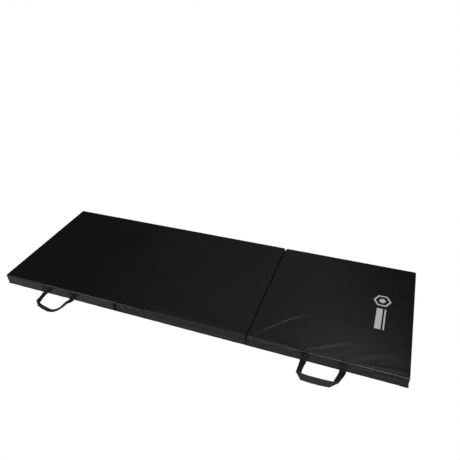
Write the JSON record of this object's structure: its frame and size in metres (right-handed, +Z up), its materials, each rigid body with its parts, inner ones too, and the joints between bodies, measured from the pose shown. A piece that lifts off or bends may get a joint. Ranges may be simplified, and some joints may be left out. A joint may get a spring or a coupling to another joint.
{
  "type": "folding gym mat",
  "caption": "Folding foam gym mat in a sewn vinyl cover, hinged on alternate faces to fold into a stack, with webbing carry handles on one long side and cover zips on the other.",
  "frame": {"origin": "centre of the middle panel's underside, on the floor plane", "axes": "+X along the mat towards the panel with the printed mark, -Y towards the side with the carry handles, +Z up out of the exercise surface"},
  "size_m": [1.8, 0.6969, 0.0501],
  "materials": {
    "cover": "satin embossed vinyl",
    "foam": "open-cell foam",
    "webbing": "woven webbing",
    "zip_tape": "woven tape",
    "zip_coil": "moulded coil",
    "zip_metal": "painted zinc",
    "thread": "sewing thread",
    "print": "matt printed ink"
  },
  "bodies": {
    "panel_left": {"foam_core_left": "foam", "top_cover_left": "cover", "bottom_sheet_left": "cover", "back_gusset_left": "cover", "zip_tapes_left": "zip_tape", "zip_coils_left": "zip_coil", "zip_stops_left": "zip_metal", "fold_wall_left": "cover", "hinge_web_top_left": "cover", "handle_anchors_left": "webbing", "anchor_stitches_left": "thread"},
    "slider_left": {"zip_slider_left": "zip_metal"},
    "pull_left": {"zip_pull_left": "zip_metal"},
    "panel_middle": {"foam_core_middle": "foam", "top_cover_middle": "cover", "bottom_sheet_middle": "cover", "back_gusset_middle": "cover", "zip_tapes_middle": "zip_tape", "zip_coils_middle": "zip_coil", "zip_stops_middle": "zip_metal", "fold_wall_middle_l": "cover", "fold_wall_middle_r": "cover", "hinge_web_top_middle": "cover", "hinge_web_bottom_middle": "cover"},
    "slider_middle": {"zip_slider_middle": "zip_metal"},
    "pull_middle": {"zip_pull_middle": "zip_metal"},
    "panel_right": {"foam_core_right": "foam", "top_cover_right": "cover", "bottom_sheet_right": "cover", "back_gusset_right": "cover", "zip_tapes_right": "zip_tape", "zip_coils_right": "zip_coil", "zip_stops_right": "zip_metal", "fold_wall_right": "cover", "hinge_web_bottom_right": "cover", "handle_anchors_right": "webbing", "anchor_stitches_right": "thread", "printed_mark": "print"},
    "slider_right": {"zip_slider_right": "zip_metal"},
    "pull_right": {"zip_pull_right": "zip_metal"},
    "handle_left": {"handle_strap_left": "webbing"},
    "handle_right": {"handle_strap_right": "webbing"}
  },
  "joints": [
    {"name": "fold_left", "type": "hinge", "parent": "panel_left", "child": "panel_middle", "pos_m": [-0.3, 0, 0.0502], "axis": [0, -1, 0], "range_deg": [0, 180]},
    {"name": "fold_right", "type": "hinge", "parent": "panel_middle", "child": "panel_right", "pos_m": [0.3, 0, -0.0002], "axis": [0, 1, 0], "range_deg": [0, 180]},
    {"name": "handle_lift_left", "type": "hinge", "parent": "panel_left", "child": "handle_left", "pos_m": [-0.606, -0.3028, 0.001], "axis": [-1, 0, 0], "range_deg": [-35, 90]},
    {"name": "handle_lift_right", "type": "hinge", "parent": "panel_right", "child": "handle_right", "pos_m": [0.602, -0.3028, 0.001], "axis": [-1, 0, 0], "range_deg": [-35, 90]},
    {"name": "zip_slide_left", "type": "slide", "parent": "panel_left", "child": "slider_left", "axis": [-1, 0, 0], "range_m": [0, 0.52]},
    {"name": "pull_turn_left", "type": "hinge", "parent": "slider_left", "child": "pull_left", "pos_m": [-0.3405, 0.3033, 0.025], "axis": [0, 0, -1], "range_deg": [0, 180]},
    {"name": "zip_slide_middle", "type": "slide", "parent": "panel_middle", "child": "slider_middle", "axis": [-1, 0, 0], "range_m": [0, 0.52]},
    {"name": "pull_turn_middle", "type": "hinge", "parent": "slider_middle", "child": "pull_middle", "pos_m": [0.26, 0.3033, 0.025], "axis": [0, 0, -1], "range_deg": [0, 180]},
    {"name": "zip_slide_right", "type": "slide", "parent": "panel_right", "child": "slider_right", "axis": [-1, 0, 0], "range_m": [0, 0.52]},
    {"name": "pull_turn_right", "type": "hinge", "parent": "slider_right", "child": "pull_right", "pos_m": [0.8605, 0.3033, 0.025], "axis": [0, 0, -1], "range_deg": [0, 180]}
  ]
}
